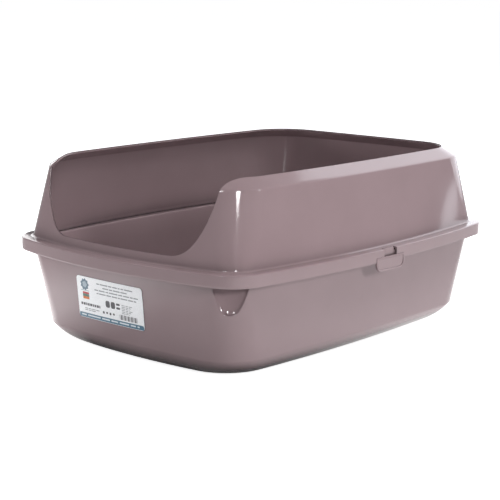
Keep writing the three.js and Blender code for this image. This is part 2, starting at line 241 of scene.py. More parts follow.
# ---- rim -------------------------------------------------------------------
def rim_outer(s, run):
    """The rim's outer face: run is 0 at the wall's base, negative over the ledge and down
    the skirt, and positive up the wall and over the crease to the top's edge."""
    corner = ring(FLANGE, s, SKIRT_TOP_Z)
    foot = ring(FLANGE, s, SKIRT_BOTTOM_Z)
    base = ring(FLANGE - WALL_BASE_INSET, s, WALL_BASE_Z)
    crease = ring(CREASE, s, CREASE_Z)
    top = ring(OPENING, s, RIM_TOP_Z)
    run = np.asarray(run, float)[..., None]
    on_top = ramp(run - WALL_RUN, ROUND_CREASE)
    on_wall = ramp(run, ROUND_BASE) - on_top
    on_skirt = ramp(-run - LEDGE_RUN, ROUND_SKIRT)
    on_ledge = ramp(-run, ROUND_BASE) - on_skirt
    return (
        base
        + (corner - base) * on_ledge / LEDGE_RUN
        + (foot - corner) * on_skirt / SKIRT_RUN
        + (crease - base) * on_wall / WALL_RUN
        + (top - crease) * on_top / TOP_RUN
    )


def rim_inner(s, run):
    """The inner face opposite rim_outer, from its foot on the tray's ledge upwards."""
    base_outline = FLANGE - (WALL_BASE_INSET + WALL)
    foot = ring(base_outline, s, WALL_FOOT_Z)
    base = ring(base_outline, s, WALL_BASE_Z)
    crease = ring(CREASE - CREASE_INNER_INSET, s, CREASE_Z - CREASE_INNER_DROP)
    top = ring(OPENING, s, RIM_TOP_Z - EDGE_DROP)
    run = np.asarray(run, float)[..., None]
    on_top = ramp(run - WALL_RUN, ROUND_CREASE)
    on_wall = ramp(run, ROUND_INNER) - on_top
    return (
        base
        + (foot - base) * ramp(-run, ROUND_INNER) / (WALL_BASE_Z - WALL_FOOT_Z)
        + (crease - base) * on_wall / WALL_RUN
        + (top - crease) * on_top / TOP_RUN
    )


# How many points each stretch of the entrance's edge starts with, before it is resampled.
SILL_POINTS = 80
FILLET_POINTS = 60
SIDE_POINTS = 100
FLARE_POINTS = 90


def entrance_curve(grow, top_z):
    """x and z of the entrance's right half, from the sill's middle to the top edge at top_z,
    moved into the wall by grow."""
    fillet = SILL_FILLET + grow
    side = SIDE_ARC + grow
    turn = np.linspace(0, FILLET_END, FILLET_POINTS)
    sill = np.linspace(0, SILL_HALF, SILL_POINTS, endpoint=False)
    x = [sill, SILL_HALF + fillet * np.sin(turn)]
    z = [np.full(SILL_POINTS, SILL_Z - grow), SILL_Z + SILL_FILLET - fillet * np.cos(turn)]
    bend_x = SILL_HALF + SILL_FILLET * math.sin(FILLET_END)
    bend_z = SILL_Z + SILL_FILLET * (1 - math.cos(FILLET_END))
    centre_x = bend_x - SIDE_ARC * math.sin(FILLET_END)
    centre_z = bend_z + SIDE_ARC * math.cos(FILLET_END)
    turn = np.linspace(FILLET_END, SIDE_END, SIDE_POINTS)[1:]
    x.append(centre_x + side * np.sin(turn))
    z.append(centre_z - side * np.cos(turn))
    turn = np.linspace(0, math.pi / 2, FLARE_POINTS)
    x.append(x[-1][-1] + (FLARE_ACROSS - grow) * (1 - np.cos(turn)))
    z.append(mix(FLARE_BOTTOM_Z, top_z, np.sin(turn)))
    return np.concatenate(x), np.concatenate(z)


FRONT_S = 3.0  # parameter s at the middle of the front, and of the right side after it
RIGHT_S = 4.0
HEIGHT_SAMPLES = 2000
HALVINGS = 45


def entrance_parameters(grow, top_run):
    """The entrance's edge on the outer face as s and run, from the sill's middle up to the
    top. Each s is found by halving the stretch between the front and the right side."""
    runs = np.linspace(1, WALL_RUN + TOP_RUN, HEIGHT_SAMPLES)
    heights = rim_outer(np.full(HEIGHT_SAMPLES, FRONT_S), runs)[:, 2]
    x, z = entrance_curve(grow, np.interp(top_run, runs, heights) + 0.1)
    run = np.interp(z, heights, runs)
    low = np.full(len(x), FRONT_S)
    high = np.full(len(x), RIGHT_S)
    for _ in range(HALVINGS):
        middle = (low + high) / 2
        inside = rim_outer(middle, run)[:, 0] < x
        low = np.where(inside, middle, low)
        high = np.where(inside, high, middle)
    s = (low + high) / 2
    end = int(np.argmax(run >= top_run))
    share = (top_run - run[end - 1]) / (run[end] - run[end - 1])
    tip_s = mix(s[end - 1], s[end], share)
    return np.append(s[:end], tip_s), np.append(run[:end], top_run)


def soften(values, reach):
    """A running average with a bell-shaped window, odd about both ends."""
    window = np.exp(-0.5 * (np.arange(-3 * reach, 3 * reach + 1) / reach) ** 2)
    padded = np.pad(values, 3 * reach, mode="reflect", reflect_type="odd")
    return np.convolve(padded, window / window.sum(), mode="valid")


def resample(s, run, step):
    """s and run at even steps along the edge they describe."""
    points = rim_outer(s, run)
    length = np.append(0, np.cumsum(np.linalg.norm(np.diff(points, axis=0), axis=1)))
    at = np.linspace(0, length[-1], int(length[-1] / step) + 1)
    return np.interp(at, length, s), np.interp(at, length, run), at


EDGE_STEP = 0.25  # between the points that the edge is softened with
TIP_ROUND = 6  # how far the corner between entrance and top is softened, in those steps
TOP_EDGE_RUN = WALL_RUN + TOP_RUN - 0.75  # where the top's face gives way to its rounded edge
COLUMN_STEP = 1.9  # between the rim's columns
ENTRANCE_GROW = 1.1  # the face ends this far from the opening, and its rounded edge fills it
BACK_S = 5.0  # parameter s at the middle of the back
BACK_POINTS = 4000


def rim_edge():
    """s and run of the wall's upper edge, all the way round from the sill's middle."""
    s, run = entrance_parameters(ENTRANCE_GROW, TOP_EDGE_RUN)
    behind = np.linspace(s[-1], BACK_S, BACK_POINTS)[1:]
    s = np.append(s, behind)
    run = np.append(run, np.full(len(behind), TOP_EDGE_RUN))
    s, run, _ = resample(s, run, EDGE_STEP)
    s = soften(s, TIP_ROUND)
    run = soften(run, TIP_ROUND)
    s, run, _ = resample(s, run, COLUMN_STEP)
    mirrored = 2 * BACK_S - s[-2:0:-1]
    return np.concatenate([s, mirrored]), np.concatenate([run, run[-2:0:-1]])


# The rim's hidden underside: inset from the skirt's outline, and height.
RIM_UNDERSIDE = (
    (WALL_BASE_INSET + WALL - 0.2, WALL_FOOT_Z + 0.12),
    (WALL_BASE_INSET + WALL - 0.6, WALL_FOOT_Z),
    (WALL_BASE_INSET + 0.6, WALL_FOOT_Z),
    (WALL_BASE_INSET + 0.15, WALL_FOOT_Z + 0.15),
    (WALL_BASE_INSET, WALL_FOOT_Z + 0.5),
    (WALL_BASE_INSET - 0.4, LEDGE_UNDER_Z),
    (9.0, LEDGE_UNDER_Z),
    (5.0, LEDGE_UNDER_Z),
    (WALL + 0.9, LEDGE_UNDER_Z),
    (WALL + 0.25, LEDGE_UNDER_Z - 0.25),
    (WALL, LEDGE_UNDER_Z - 0.9),
    (WALL, SKIRT_BOTTOM_Z + 6),
    (WALL, SKIRT_BOTTOM_Z + 0.7),
    (WALL - 0.2, SKIRT_BOTTOM_Z + 0.2),
    (WALL - 0.7, SKIRT_BOTTOM_Z),
    (0.7, SKIRT_BOTTOM_Z),
    (0.2, SKIRT_BOTTOM_Z + 0.2),
)
EDGE_ROWS = 9
FINE_FROM = 0.76  # share of the way up the wall from which its rows are close together
OVER_TOP = 1.3  # how far the inner face runs on beyond the outer one on the top
OVER_TOP_RUN = 8  # the run over which it comes to that


def rim_rows():
    """Closed rows of points round the rim, from the skirt's outer foot over the wall and back."""
    s, edge_run = rim_edge()
    count = len(s)
    fixed = np.concatenate([
        [-(LEDGE_RUN + SKIRT_RUN) + 0.7],
        np.linspace(-(LEDGE_RUN + SKIRT_RUN) + 2.5, -(LEDGE_RUN + ROUND_SKIRT), 5),
        np.linspace(-(LEDGE_RUN + ROUND_SKIRT), -(LEDGE_RUN - ROUND_SKIRT), 9)[1:],
        np.linspace(-(LEDGE_RUN - ROUND_SKIRT), -ROUND_BASE, 7)[1:],
        np.linspace(-ROUND_BASE, ROUND_BASE, 8)[1:],
    ])
    rows = [rim_outer(s, np.full(count, run)) for run in fixed]
    shares = np.concatenate([
        np.linspace(0, FINE_FROM, 20)[1:], np.linspace(FINE_FROM, 1, 46)[1:]
    ])
    outer = [rim_outer(s, mix(ROUND_BASE, edge_run, share)) for share in shares]
    rows += outer

    # The inner edge sits square to the outer one, so it runs on a little over the top.
    over_top = np.clip((edge_run - WALL_RUN) / OVER_TOP_RUN, 0, 1) * OVER_TOP
    inner_edge = edge_run + over_top
    outer_end = outer[-1]
    inner_end = rim_inner(s, inner_edge)
    middle = (outer_end + inner_end) / 2
    across = (outer_end - inner_end) / 2
    tangent = np.roll(middle, -1, axis=0) - np.roll(middle, 1, axis=0)
    outwards = np.cross(tangent, across)
    outwards /= np.linalg.norm(outwards, axis=1)[:, None]
    outwards *= np.linalg.norm(across, axis=1)[:, None]
    for step in range(1, EDGE_ROWS):
        turn = math.pi * step / EDGE_ROWS
        rows.append(middle + across * math.cos(turn) + outwards * math.sin(turn))

    downwards = np.append(1, shares[::-1][1:])
    rows += [rim_inner(s, mix(ROUND_BASE, inner_edge, share)) for share in downwards]
    rows += [rim_inner(s, np.full(count, run)) for run in (1.3, 0.6, 0, -0.6, -1.4, -3.0)]
    rows += [ring(FLANGE - inset, s, z) for inset, z in RIM_UNDERSIDE]
    return rows


def block(low, high):
    """A plain cutter between two corners."""
    corners = [
        (x, y, z)
        for z in (low[2], high[2])
        for y in (low[1], high[1])
        for x in (low[0], high[0])
    ]
    faces = [(0, 2, 3, 1), (4, 5, 7, 6), (0, 1, 5, 4), (2, 6, 7, 3), (0, 4, 6, 2), (1, 3, 7, 5)]
    return corners, faces


def cut(target, cutters):
    """Cuts the solids in cutters out of target."""
    vertices = []
    faces = []
    for corners, sides in cutters:
        faces += [tuple(len(vertices) + i for i in side) for side in sides]
        vertices += corners
    tool = new_object("cutter", vertices, faces, target.data.materials[0])
    modifier = target.modifiers.new("cut", "BOOLEAN")
    modifier.operation = "DIFFERENCE"
    modifier.solver = "MANIFOLD"
    modifier.object = tool
    shape = target.evaluated_get(bpy.context.evaluated_depsgraph_get())
    mesh = bpy.data.meshes.new_from_object(shape)
    target.modifiers.clear()
    target.data = mesh
    bpy.data.objects.remove(tool)
    mesh.shade_smooth()
    mesh.set_sharp_from_angle(angle=math.radians(SHARP_ANGLE))


CLIP_Y = (CLIP_LOW[1] + CLIP_HIGH[1]) / 2
CLIP_HALF = (CLIP_HIGH[1] - CLIP_LOW[1]) / 2
CLIP_PLAY = 0.04
WINDOW_HALF = 11.5
WINDOW_DEPTH = 5.4


def make_rim(material):
    """The rim, with a window over each of the tray's lugs and a notch for each clip."""
    rows = rim_rows()
    faces = grid_faces(len(rows), len(rows[0]), close_rows=True)
    rim = new_object("rim_moulding", np.concatenate(rows), faces, material)
    windows = []
    notches = []
    for sign in (-1, 1):
        xs = sorted((sign * (HALF_X + 1), sign * (HALF_X - WINDOW_DEPTH)))
        windows.append(block(
            (xs[0], CLIP_Y - WINDOW_HALF, SKIRT_BOTTOM_Z - 1),
            (xs[1], CLIP_Y + WINDOW_HALF, WALL_BASE_Z + 1),
        ))
        notches.append(block(
            (xs[0], CLIP_Y - CLIP_HALF - CLIP_PLAY, SKIRT_BOTTOM_Z - 2),
            (xs[1] + 1, CLIP_Y + CLIP_HALF + CLIP_PLAY, CLIP_HIGH[2] + CLIP_PLAY),
        ))
    cut(rim, windows)
    cut(rim, notches)
    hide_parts("rim")
    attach(rim, "rim")


# ---- tray ------------------------------------------------------------------
# The thumb recesses: the way they face, their size, and how they meet the wall.
SCOOP_BEARING = math.radians(48.5)
SCOOP_OUT = np.array([math.cos(SCOOP_BEARING), math.sin(SCOOP_BEARING)])
SCOOP_ACROSS = np.array([-SCOOP_OUT[1], SCOOP_OUT[0]])
SCOOP_BOTTOM_Z = 72.9
SCOOP_FULL_Z = 100
SCOOP_HALF = 17.5
SCOOP_POWER = 0.42  # how quickly it widens upwards
SCOOP_HOLLOW = 0.36  # depth behind the chord across it, over half its width
SCOOP_TIP = 0.5  # half width of its blunt lower tip
SCOOP_SOFT = 2.2  # how far its edge is rounded
SCOOP_FLARE = 1.8  # slope with which the recess's surface leaves the wall


def wall_share(z):
    return (z - BEVEL_TOP_Z) / (SKIRT_BOTTOM_Z - BEVEL_TOP_Z)


def wall_ring(s, inset, z):
    """The tray's wall at any height, drawn in by inset."""
    low = ring(TRAY_BOTTOM - inset, s, z)
    high = ring(TRAY_TOP - inset, s, z)
    return mix(low, high, wall_share(z))


def scooped(points, z, swell):
    """The wall's points at height z, moved into the thumb recesses, which are in the
    front right and back left corners.
    swell makes the recess larger on every side, as seen from inside the tray."""
    share = wall_share(z)
    low, high = (
        corner_centre(outline) + SCOOP_OUT * outline[2] for outline in (TRAY_BOTTOM, TRAY_TOP)
    )
    apex = mix(low, high, share)
    radius = mix(TRAY_BOTTOM[2], TRAY_TOP[2], share)
    bottom = SCOOP_BOTTOM_Z - swell
    level = min(max((z - bottom) / (SCOOP_FULL_Z - bottom), 0), 1)
    widening = level**SCOOP_POWER
    half = SCOOP_HALF * widening + swell + SCOOP_TIP
    hollow = SCOOP_HALF * widening * SCOOP_HOLLOW + swell
    fall = radius - math.sqrt(radius**2 - min(half, 0.97 * radius) ** 2)
    signs = np.sign(points[:, :2])
    local = np.abs(points[:, :2]) - apex
    reach = local @ SCOOP_OUT
    side = np.abs(local @ SCOOP_ACROSS)
    bowl = -fall - hollow * np.sqrt(np.clip(1 - (side / half) ** 2, 0, 1))
    bowl += SCOOP_FLARE * (np.maximum(side - half, 0) + max(bottom - z, 0))
    moved = smallest(reach, bowl, SCOOP_SOFT)
    moved = np.where(signs[:, 0] * signs[:, 1] < 0, moved, reach)
    result = points.copy()
    result[:, :2] += signs * (moved - reach)[:, None] * SCOOP_OUT
    return result


def bevel_ring(low, high, share):
    """A ring on the rounded bevel between floor and wall."""
    slope = mix(BEVEL_FROM, BEVEL_TO, share)
    whole_across = math.sin(BEVEL_TO) - math.sin(BEVEL_FROM)
    whole_up = math.cos(BEVEL_FROM) - math.cos(BEVEL_TO)
    across = (math.sin(slope) - math.sin(BEVEL_FROM)) / whole_across
    up = (math.cos(BEVEL_FROM) - math.cos(slope)) / whole_up
    mixed = mix(low, high, across)
    mixed[:, 2] = mix(low[:, 2], high[:, 2], up)
    return mixed


RECESS_REACH = (28, 60)  # how far to the side of a recess columns go from close to wide
RECESS_STEP = (0.8, 3.5)  # and how wide each is
QUARTER_POINTS = 4001


def tray_columns():
    """Parameters s round the tray: close together at the recesses, wider elsewhere."""
    s = np.linspace(0, 1, QUARTER_POINTS)
    x, y = ring_xy(TRAY_TOP, s)
    apex = corner_centre(TRAY_TOP) + SCOOP_OUT * TRAY_TOP[2]
    side = np.abs(np.stack([x, y], axis=1) @ SCOOP_ACROSS - apex @ SCOOP_ACROSS)
    step = np.interp(side, RECESS_REACH, RECESS_STEP)
    length = np.hypot(np.diff(x), np.diff(y)) / ((step[1:] + step[:-1]) / 2)
    position = np.append(0, np.cumsum(length))
    count = int(position[-1])
    quarter = np.interp(np.linspace(0, position[-1], count + 1), position, s)[:-1]
    half = np.concatenate([quarter, [1.0], 2 - quarter[:0:-1]])
    return np.concatenate([half, 2 + half])


# Heights of the rows up the tray's wall and down again inside, close together at the recesses.
OUTER_HEIGHTS = np.concatenate([
    [22, 23.2, 26], np.linspace(31, 66, 8), np.linspace(67, 112.2, 56)
])
INNER_HEIGHTS = np.concatenate([np.linspace(113, 66, 58), np.linspace(64, 31, 8), [26, 24]])
FLOOR_SCALES = (0.3, 0.6, 0.85, 0.97, 0.993)  # rings of the floor, as shares of its outline
BEVEL_SHARES = np.linspace(0.05, 1, 12)
LIP_UNDER_Z = LEDGE_TOP_Z - WALL

# The tray's lip, from its inner side under the ledge to the ledge's top: inset from the
# skirt's outline, and height.
TRAY_LIP = (
    (LIP_INSET + WALL, LIP_UNDER_Z - 0.8),
    (LIP_INSET + WALL, LIP_BOTTOM_Z + 0.7),
    (LIP_INSET + WALL - 0.2, LIP_BOTTOM_Z + 0.2),
    (LIP_INSET + WALL - 0.7, LIP_BOTTOM_Z),
    (LIP_INSET + 0.7, LIP_BOTTOM_Z),
    (LIP_INSET + 0.2, LIP_BOTTOM_Z + 0.2),
    (LIP_INSET, LIP_BOTTOM_Z + 0.7),
    (LIP_INSET, LEDGE_TOP_Z - 1.2),
    (LIP_INSET + 0.1, LEDGE_TOP_Z - 0.6),
    (LIP_INSET + 0.35, LEDGE_TOP_Z - 0.25),
    (LIP_INSET + 0.7, LEDGE_TOP_Z - 0.06),
    (LIP_INSET + 1.1, LEDGE_TOP_Z),
)
# Shares of the way across the ledge, and how far its rounded ends drop there.
LEDGE_UNDER = ((0.02, 0.25), (0.06, 0), (0.3, 0), (0.6, 0), (0.9, 0), (0.97, 0.2))
LEDGE_TOP = ((0.3, 0), (0.6, 0), (0.85, 0), (0.93, 0), (0.965, 0.08), (0.985, 0.3))
LEDGE_EDGE_DROP = 0.8


def across_ledge(start, end, stations):
    """Rows between two rows, at the shares and drops that stations gives."""
    rows = []
    for share, drop in stations:
        row = mix(start, end, share)
        row[:, 2] -= drop
        rows.append(row)
    return rows


def tray_rows():
    """Rows from the middle of the underside, over the lip, to the middle of the floor."""
    s = tray_columns()
    foot = ring(FOOT, s, 0)
    bevel_top = wall_ring(s, 0, BEVEL_TOP_Z)
    rows = [foot * scale for scale in FLOOR_SCALES]
    rows += [bevel_ring(foot, bevel_top, share) for share in BEVEL_SHARES]
    rows += [scooped(wall_ring(s, 0, z), z, 0) for z in OUTER_HEIGHTS]

    top = scooped(wall_ring(s, 0, LIP_UNDER_Z), LIP_UNDER_Z, 0)
    lip_inner = ring(FLANGE - (LIP_INSET + WALL), s, LIP_UNDER_Z)
    rows += across_ledge(top, lip_inner, LEDGE_UNDER)
    rows += [ring(FLANGE - inset, s, z) for inset, z in TRAY_LIP]
    inner_top = scooped(ring(TRAY_TOP - WALL / 2, s, LEDGE_TOP_Z), LEDGE_TOP_Z, WALL)
    rows += across_ledge(rows[-1], inner_top, (*LEDGE_TOP, (1, LEDGE_EDGE_DROP)))

    rows += [scooped(wall_ring(s, WALL, z), z, WALL) for z in INNER_HEIGHTS]
    floor = ring(FOOT - WALL / 2, s, WALL)
    bevel_inner = wall_ring(s, WALL, BEVEL_TOP_Z)
    bevel_inner[:, 2] = BEVEL_TOP_Z + WALL / 2
    rows += [bevel_ring(floor, bevel_inner, share) for share in BEVEL_SHARES[::-1]]
    for scale in FLOOR_SCALES[::-1]:
        row = floor * scale
        row[:, 2] = WALL
        rows.append(row)
    return rows


def make_tray(material):
    rows = tray_rows()
    count = len(rows[0])
    vertices = np.concatenate([*rows, [[0, 0, 0], [0, 0, WALL]]])
    faces = grid_faces(len(rows), count)
    faces += fan(len(vertices) - 2, 0, count)
    faces += fan(len(vertices) - 1, (len(rows) - 1) * count, count)
    tray = new_object("tray_moulding", vertices, faces, material)
    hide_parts("tray")
    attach(tray, "tray")


# ---- tabs: the lugs on the tray's ledge, and the clips ----------------------
def tab_outline(low, high, margin, bottom_radius, top_radius):
    """(y, z) round a tab's face, drawn in by margin, with its own corner radii."""
    quarter = np.linspace(0, 90, 13)
    y0, z0 = low[0] + margin, low[1] + margin
    y1, z1 = high[0] - margin, high[1] - margin
    points = []
    corners = (
        (y1, z0, -90, bottom_radius, -1, 1),
        (y1, z1, 0, top_radius, -1, -1),
        (y0, z1, 90, top_radius, 1, -1),
        (y0, z0, 180, bottom_radius, 1, 1),
    )
    for y, z, start, radius, side_y, side_z in corners:
        radius = max(radius - margin, 0.05)
        for turn in np.radians(start + quarter):
            points.append((
                y + side_y * radius + radius * math.cos(turn),
                z + side_z * radius + radius * math.sin(turn),
            ))
    return np.array(points)


def tab_mesh(layers):
    """Vertices and faces over a stack of (x, outline) layers, capped at both ends."""
    vertices = []
    for x, outline in layers:
        xs = np.broadcast_to(np.asarray(x, float), (len(outline),))
        vertices.append(np.column_stack([xs, outline]))
    count = len(vertices[0])
    faces = grid_faces(len(layers), count)
    faces.append(tuple(range(count)))
    faces.append(tuple((len(layers) - 1) * count + i for i in range(count)))
    return np.concatenate(vertices), faces


LUG_HALF = 10
LUG_THICK = 2
LUG_INSET = WALL + 0.7
LUG_BOTTOM_Z = 112
LUG_TOP_Z = SKIRT_TOP_Z + 0.3
LUG_CORNER = 2.5
LUG_FOOT = 0.6  # radius of its lower corners
LUG_ROUND = 0.45  # radius round its two faces


def make_lug(name, sign, material):
    """The flat tongue on the tray's lip that shows in a clip's window."""
    low = (CLIP_Y - LUG_HALF, LUG_BOTTOM_Z)
    high = (CLIP_Y + LUG_HALF, LUG_TOP_Z)
    outer = HALF_X - LUG_INSET
    inner = outer - LUG_THICK
    rounds = [
        (LUG_ROUND * (1 - math.cos(turn)), LUG_ROUND * (1 - math.sin(turn)))
        for turn in np.linspace(0, math.pi / 2, 5)
    ]
    layers = [(inner + depth, margin) for depth, margin in rounds]
    layers += [(outer - depth, margin) for depth, margin in rounds[::-1]]
    stack = [
        (sign * x, tab_outline(low, high, margin, LUG_FOOT, LUG_CORNER)) for x, margin in layers
    ]
    lug = new_object(name, *tab_mesh(stack), material)
    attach(lug, "tray")


CLIP_CORNER = 8.5
CLIP_HINGE_CORNER = 0.1
BEAD_WIDTH = 2.2
BEAD_HEIGHT = 0.9
CLIP_FACE_X = CLIP_HIGH[0] - BEAD_HEIGHT
CLIP_BACK_ROUND = 0.4


def make_clip(name, sign, material):
    """A flat tab with a raised bead along its sides and lower edge."""
    low = (CLIP_LOW[1], CLIP_LOW[2])
    high = (CLIP_HIGH[1], CLIP_HIGH[2])

    def outline(margin):
        return tab_outline(low, high, margin, CLIP_CORNER, CLIP_HINGE_CORNER)

    def fade(points):
        """0 along the hinge line, 1 down the sides and round the lower edge."""
        return np.clip((high[1] - 0.6 - points[:, 1]) / 2.5, 0, 1)

    back = CLIP_FACE_X - WALL
    stack = [
        (back, outline(CLIP_BACK_ROUND)),
        (back + 0.12, outline(0.12)),
        (back + CLIP_BACK_ROUND, outline(0)),
        (CLIP_FACE_X - 0.5, outline(0)),
        (CLIP_FACE_X - 0.12, outline(0)),
    ]
    for turn in np.linspace(0, math.pi, 13)[1:]:
        margin = BEAD_WIDTH * (1 - math.cos(turn)) / 2
        points = outline(margin)
        stack.append((CLIP_FACE_X + BEAD_HEIGHT * math.sin(turn) * fade(points), points))
    stack.append((CLIP_FACE_X, outline(BEAD_WIDTH + 0.5)))
    clip = new_object(name, *tab_mesh([(sign * x, points) for x, points in stack]), material)
    return clip


# ---- label -----------------------------------------------------------------
LABEL_GAP = 0.3
LABEL_THICK = 0.3
LABEL_CORNER = 3.5


def front_y(x, z):
    """The front wall's y at x and z."""
    lows = []
    for half_y, radius in ((TRAY_BOTTOM[1], TRAY_BOTTOM[3]), (TRAY_TOP[1], TRAY_TOP[3])):
        lows.append(half_y - radius + np.sqrt(radius**2 - x**2))
    return -mix(lows[0], lows[1], wall_share(z))


def sheet_mesh(left, right, bottom, top, corner, back, face, columns=48, rows=10):
    """A thin rounded rectangle that follows the front wall, from back to face in front of it."""
    share = np.linspace(0, 1, 7)
    ends = corner * (1 - np.cos(share * math.pi / 2))
    between = np.linspace(left + corner, right - corner, columns)[1:-1]
    xs = np.concatenate([left + ends, between, right - ends[::-1]])
    into = np.maximum(np.maximum(left + corner - xs, xs - right + corner), 0)
    drop = corner - np.sqrt(np.maximum(corner**2 - into**2, 0.0004))
    heights = np.linspace(0, 1, rows)[:, None]
    z = (bottom + drop)[None, :] + heights * (top - bottom - 2 * drop)[None, :]
    x = np.broadcast_to(xs, z.shape)
    layers = []
    for lift in (back, face):
        layers.append(np.stack([x, front_y(x, z) - lift, z], axis=-1).reshape(-1, 3))
    count = len(xs)
    size = rows * count
    faces = grid_faces(rows, count, close_columns=False)
    faces += [tuple(reversed([i + size for i in quad])) for quad in faces]
    border = list(range(count))
    border += [row * count + count - 1 for row in range(1, rows)]
    border += [(rows - 1) * count + i for i in range(count - 2, -1, -1)]
    border += [row * count for row in range(rows - 2, 0, -1)]
    for here, after in zip(border, border[1:] + border[:1]):
        faces.append((here, after, after + size, here + size))
    return np.concatenate(layers), faces


def make_label(material):
    vertices, faces = sheet_mesh(
        LABEL_LOW[0], LABEL_HIGH[0], LABEL_LOW[2], LABEL_HIGH[2], LABEL_CORNER,
        LABEL_GAP, LABEL_GAP + LABEL_THICK,
    )
    label = new_object("label_film", vertices, faces, material)
    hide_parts("label")
    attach(label, "tray")


# The label's marks are plain shapes, placed by their share of its width and height.
MARK_SUNK = 0.03
MARK_RAISED = 0.04
STRIPE_TOP = 0.118


def on_label(across, up):
    x = mix(LABEL_LOW[0], LABEL_HIGH[0], across)
    z = mix(LABEL_LOW[2], LABEL_HIGH[2], up)
    return x, z


def mark(left, right, bottom, top, corner=0.3, layer=0):
    """A thin printed rectangle on the label."""
    x0, z0 = on_label(left, bottom)
    x1, z1 = on_label(right, top)
    face = LABEL_GAP + LABEL_THICK + layer * MARK_RAISED
    columns = max(int((x1 - x0) / 4), 3)
    return sheet_mesh(x0, x1, z0, z1, corner, face - MARK_SUNK, face + MARK_RAISED, columns, 4)


def words(left, right, up, height, lengths, gap):
    """A row of short bars, as long as lengths say in turn."""
    bars = []
    at = left
    turn = 0
    while at < right:
        end = min(at + lengths[turn % len(lengths)], right)
        bars.append(mark(at, end, up - height / 2, up + height / 2, 0.12))
        at = end + gap
        turn += 1
    return bars


def rosette(across, up, radius, lobes, layer=0):
    """A flat disc with a wavy edge."""
    centre_x, centre_z = on_label(across, up)
    turn = np.linspace(0, 2 * math.pi, lobes * 14, endpoint=False)
    reach = radius * (1 + 0.1 * np.cos(lobes * turn))
    x = np.append(centre_x + reach * np.cos(turn), centre_x)
    z = np.append(centre_z + reach * np.sin(turn), centre_z)
    face = LABEL_GAP + LABEL_THICK + layer * MARK_RAISED
    count = len(turn)
    sides = [
        np.column_stack([x, front_y(x, z) - lift, z])
        for lift in (face - MARK_SUNK, face + MARK_RAISED)
    ]
    faces = fan(count, 0, count) + fan(2 * count + 1, count + 1, count)
    for i in range(count):
        j = (i + 1) % count
        faces.append((i, j, count + 1 + j, count + 1 + i))
    return np.concatenate(sides), faces


def make_marks(name, colour, marks):
    """One piece from all the marks of one colour."""
    vertices = []
    faces = []
    for corners, sides in marks:
        start = sum(len(group) for group in vertices)
        vertices.append(corners)
        faces += [tuple(start + i for i in side) for side in sides]
    made = new_object("label_" + name, np.concatenate(vertices), faces, film("ink_" + name, colour))
    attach(made, "tray")


def make_print():
    stripe = mark(0.006, 0.994, 0.008, STRIPE_TOP, 1.5)
    make_marks("blue", (0.07, 0.17, 0.25), [stripe])
    white = words(0.04, 0.93, 0.068, 0.034, (0.075, 0.2, 0.12, 0.1, 0.14), 0.025)
    make_marks("white", (0.75, 0.8, 0.84), [
        (corners - np.array([0, MARK_RAISED, 0]), sides) for corners, sides in white
    ])

    # Small print: the words at the top, the block on the right and the lines below the size.
    lines = []
    lines += words(0.32, 0.87, 0.885, 0.026, (0.04, 0.12, 0.05, 0.07, 0.03), 0.012)
    lines += words(0.41, 0.78, 0.805, 0.026, (0.09, 0.05, 0.1), 0.012)
    lines += words(0.28, 0.94, 0.73, 0.026, (0.06, 0.09, 0.04, 0.13), 0.012)
    lines += words(0.31, 0.91, 0.655, 0.026, (0.03, 0.1, 0.07, 0.08), 0.012)
    for row in range(6):
        end = 0.84 - 0.02 * (row % 3)
        lines += words(0.685, end, 0.5 - 0.038 * row, 0.016, (0.05, 0.035), 0.01)
    for row in range(2):
        end = 0.33 - 0.06 * row
        lines += words(0.1, end, 0.235 - 0.04 * row, 0.018, (0.05, 0.03, 0.07), 0.01)
    make_marks("grey", (0.27, 0.28, 0.3), lines)

    # The percentage, the size, the barcode and the icons.
    bold = [
        mark(0.44, 0.505, 0.37, 0.53, 2.2),
        mark(0.52, 0.585, 0.37, 0.53, 2.2),
        mark(0.6, 0.66, 0.38, 0.43, 1.4),
        mark(0.6, 0.66, 0.47, 0.52, 1.4),
    ]
    bold += words(0.045, 0.35, 0.335, 0.06, (0.028, 0.034, 0.02), 0.008)
    for bar in range(16):
        left = 0.645 + 0.0168 * bar
        bold.append(mark(left, left + 0.005 + 0.004 * (bar * 5 % 3), 0.15, 0.27, 0.05))
    for icon in range(4):
        left = 0.385 + 0.052 * icon
        bold.append(mark(left, left + 0.028, 0.2 + 0.012 * (icon % 2), 0.26, 1.0))
    make_marks("dark", (0.08, 0.075, 0.085), bold)

    # The emblem and the three-coloured square under it.
    make_marks("slate", (0.13, 0.2, 0.26), [rosette(0.125, 0.81, 6.2, 9)])
    make_marks("slate_light", (0.42, 0.5, 0.56), [
        rosette(0.125, 0.81, 3.4, 5, 1), mark(0.06, 0.19, 0.655, 0.675, 0.2)
    ])
    make_marks("red", (0.5, 0.04, 0.05), [mark(0.085, 0.185, 0.585, 0.63, 0.3)])
    make_marks("green", (0.1, 0.2, 0.15), [mark(0.085, 0.185, 0.52, 0.584, 0.1)])
    make_marks("orange", (0.65, 0.17, 0.03), [mark(0.085, 0.185, 0.46, 0.519, 0.3)])


# ---- materials -------------------------------------------------------------
def new_material(name):
    material = bpy.data.materials.new(name)
    material.use_nodes = True
    nodes = material.node_tree.nodes
    return material, nodes, material.node_tree.links, nodes["Principled BSDF"]


def noise(nodes, links, vector, scale, detail=2.0, roughness=0.5):
    node = nodes.new("ShaderNodeTexNoise")
    node.inputs["Scale"].default_value = scale
    node.inputs["Detail"].default_value = detail
    node.inputs["Roughness"].default_value = roughness
    links.new(vector, node.inputs["Vector"])
    return node.outputs["Fac"]


